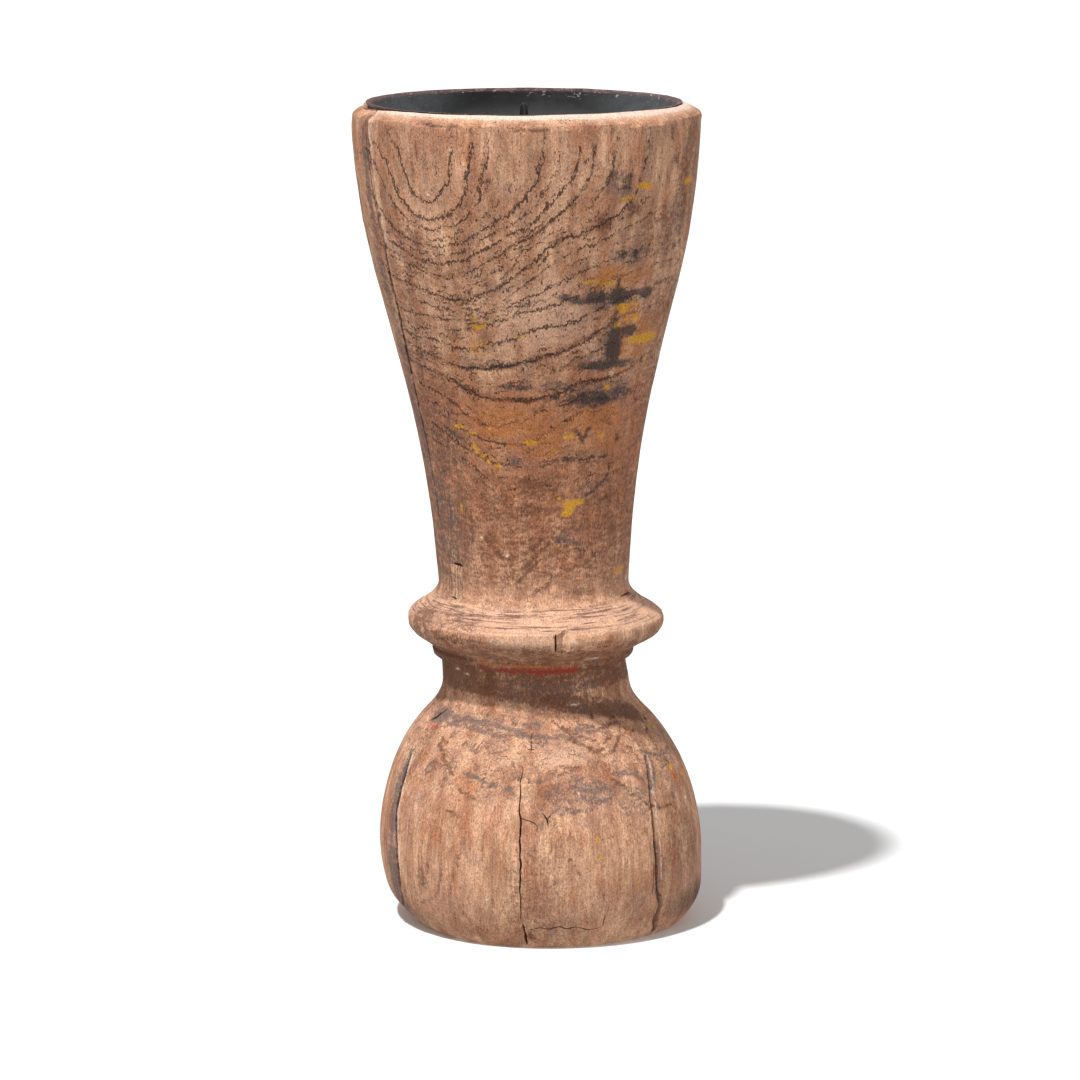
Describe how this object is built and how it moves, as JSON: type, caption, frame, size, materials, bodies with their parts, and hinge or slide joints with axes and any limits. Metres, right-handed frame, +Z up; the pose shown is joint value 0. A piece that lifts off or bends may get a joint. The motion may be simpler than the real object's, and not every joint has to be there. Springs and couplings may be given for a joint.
{
  "type": "candlestick",
  "caption": "Turned reclaimed-wood pillar candlestick with a bell foot, a collared neck, a flared top and a black iron drip dish with a pricket spike.",
  "frame": {"origin": "centre of the foot's flat underside", "axes": "+Z up along the turning axis, from the foot to the dish; -Y is the side that the picture shows"},
  "size_m": [0.1172, 0.1172, 0.2793],
  "materials": {
    "reclaimed_wood": "dry, sanded and weathered, with drying cracks and remains of yellow, black and red paint",
    "black_iron": "satin black paint, chipped to brown rust along the rim",
    "spike_iron": "gloss black paint over forged iron",
    "bare_steel": "dull zinc-grey steel"
  },
  "bodies": {
    "root": {"turned_body": "reclaimed_wood", "drip_dish": "black_iron", "spike": "spike_iron", "spike_washer": "bare_steel", "dish_screws": "bare_steel"}
  },
  "joints": []
}
